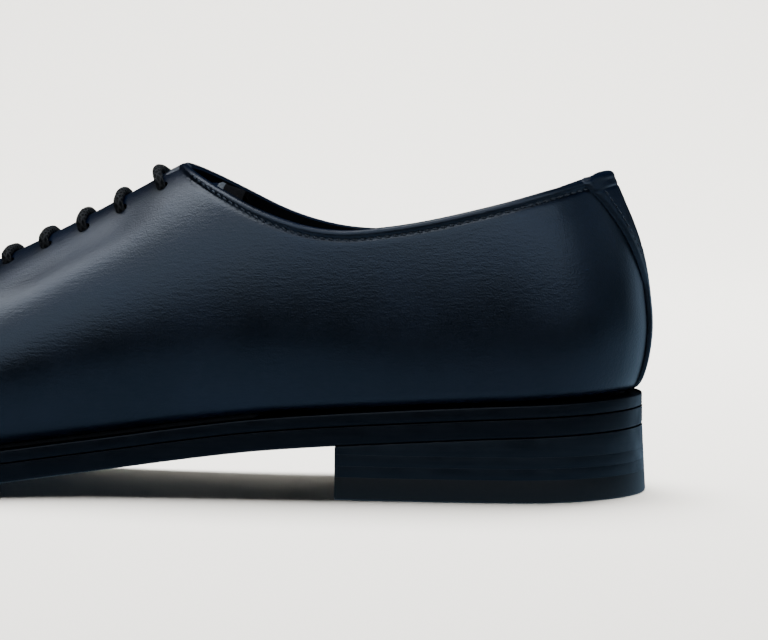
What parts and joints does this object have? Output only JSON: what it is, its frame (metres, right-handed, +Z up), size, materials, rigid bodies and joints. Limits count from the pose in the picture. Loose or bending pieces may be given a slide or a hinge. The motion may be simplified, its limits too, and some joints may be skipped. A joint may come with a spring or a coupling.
{
  "type": "whole cut oxford shoe",
  "caption": "Right dress shoe with a smooth one-piece leather upper, closed lacing, welted leather sole and low stacked heel.",
  "frame": {"origin": "middle of the shoe's outer box, on the ground", "axes": "+Y from toe to heel, +Z up, +X towards the inner side of the foot"},
  "size_m": [0.105, 0.3048, 0.0879],
  "materials": {
    "calf": "navy polished calf, semi-gloss",
    "lining": "black lining leather, matte",
    "insole_leather": "black sock leather, matte",
    "sole_edge": "black stained and waxed sole leather",
    "heel_stack": "black stained and waxed leather lifts",
    "heel_rubber": "black rubber, matte",
    "lace_cord": "waxed round cotton cord, dark charcoal"
  },
  "bodies": {
    "root": {"upper": "calf", "heel_strip": "calf", "tongue": "lining", "insole": "insole_leather", "welt": "sole_edge", "outsole": "sole_edge", "heel_top_piece": "heel_rubber", "heel_lift_1": "heel_stack", "heel_lift_2": "heel_stack", "heel_seat_lift": "heel_stack", "lace_bar_1": "lace_cord", "lace_bar_2": "lace_cord", "lace_bar_3": "lace_cord", "lace_bar_4": "lace_cord", "lace_bar_5": "lace_cord"}
  },
  "joints": []
}
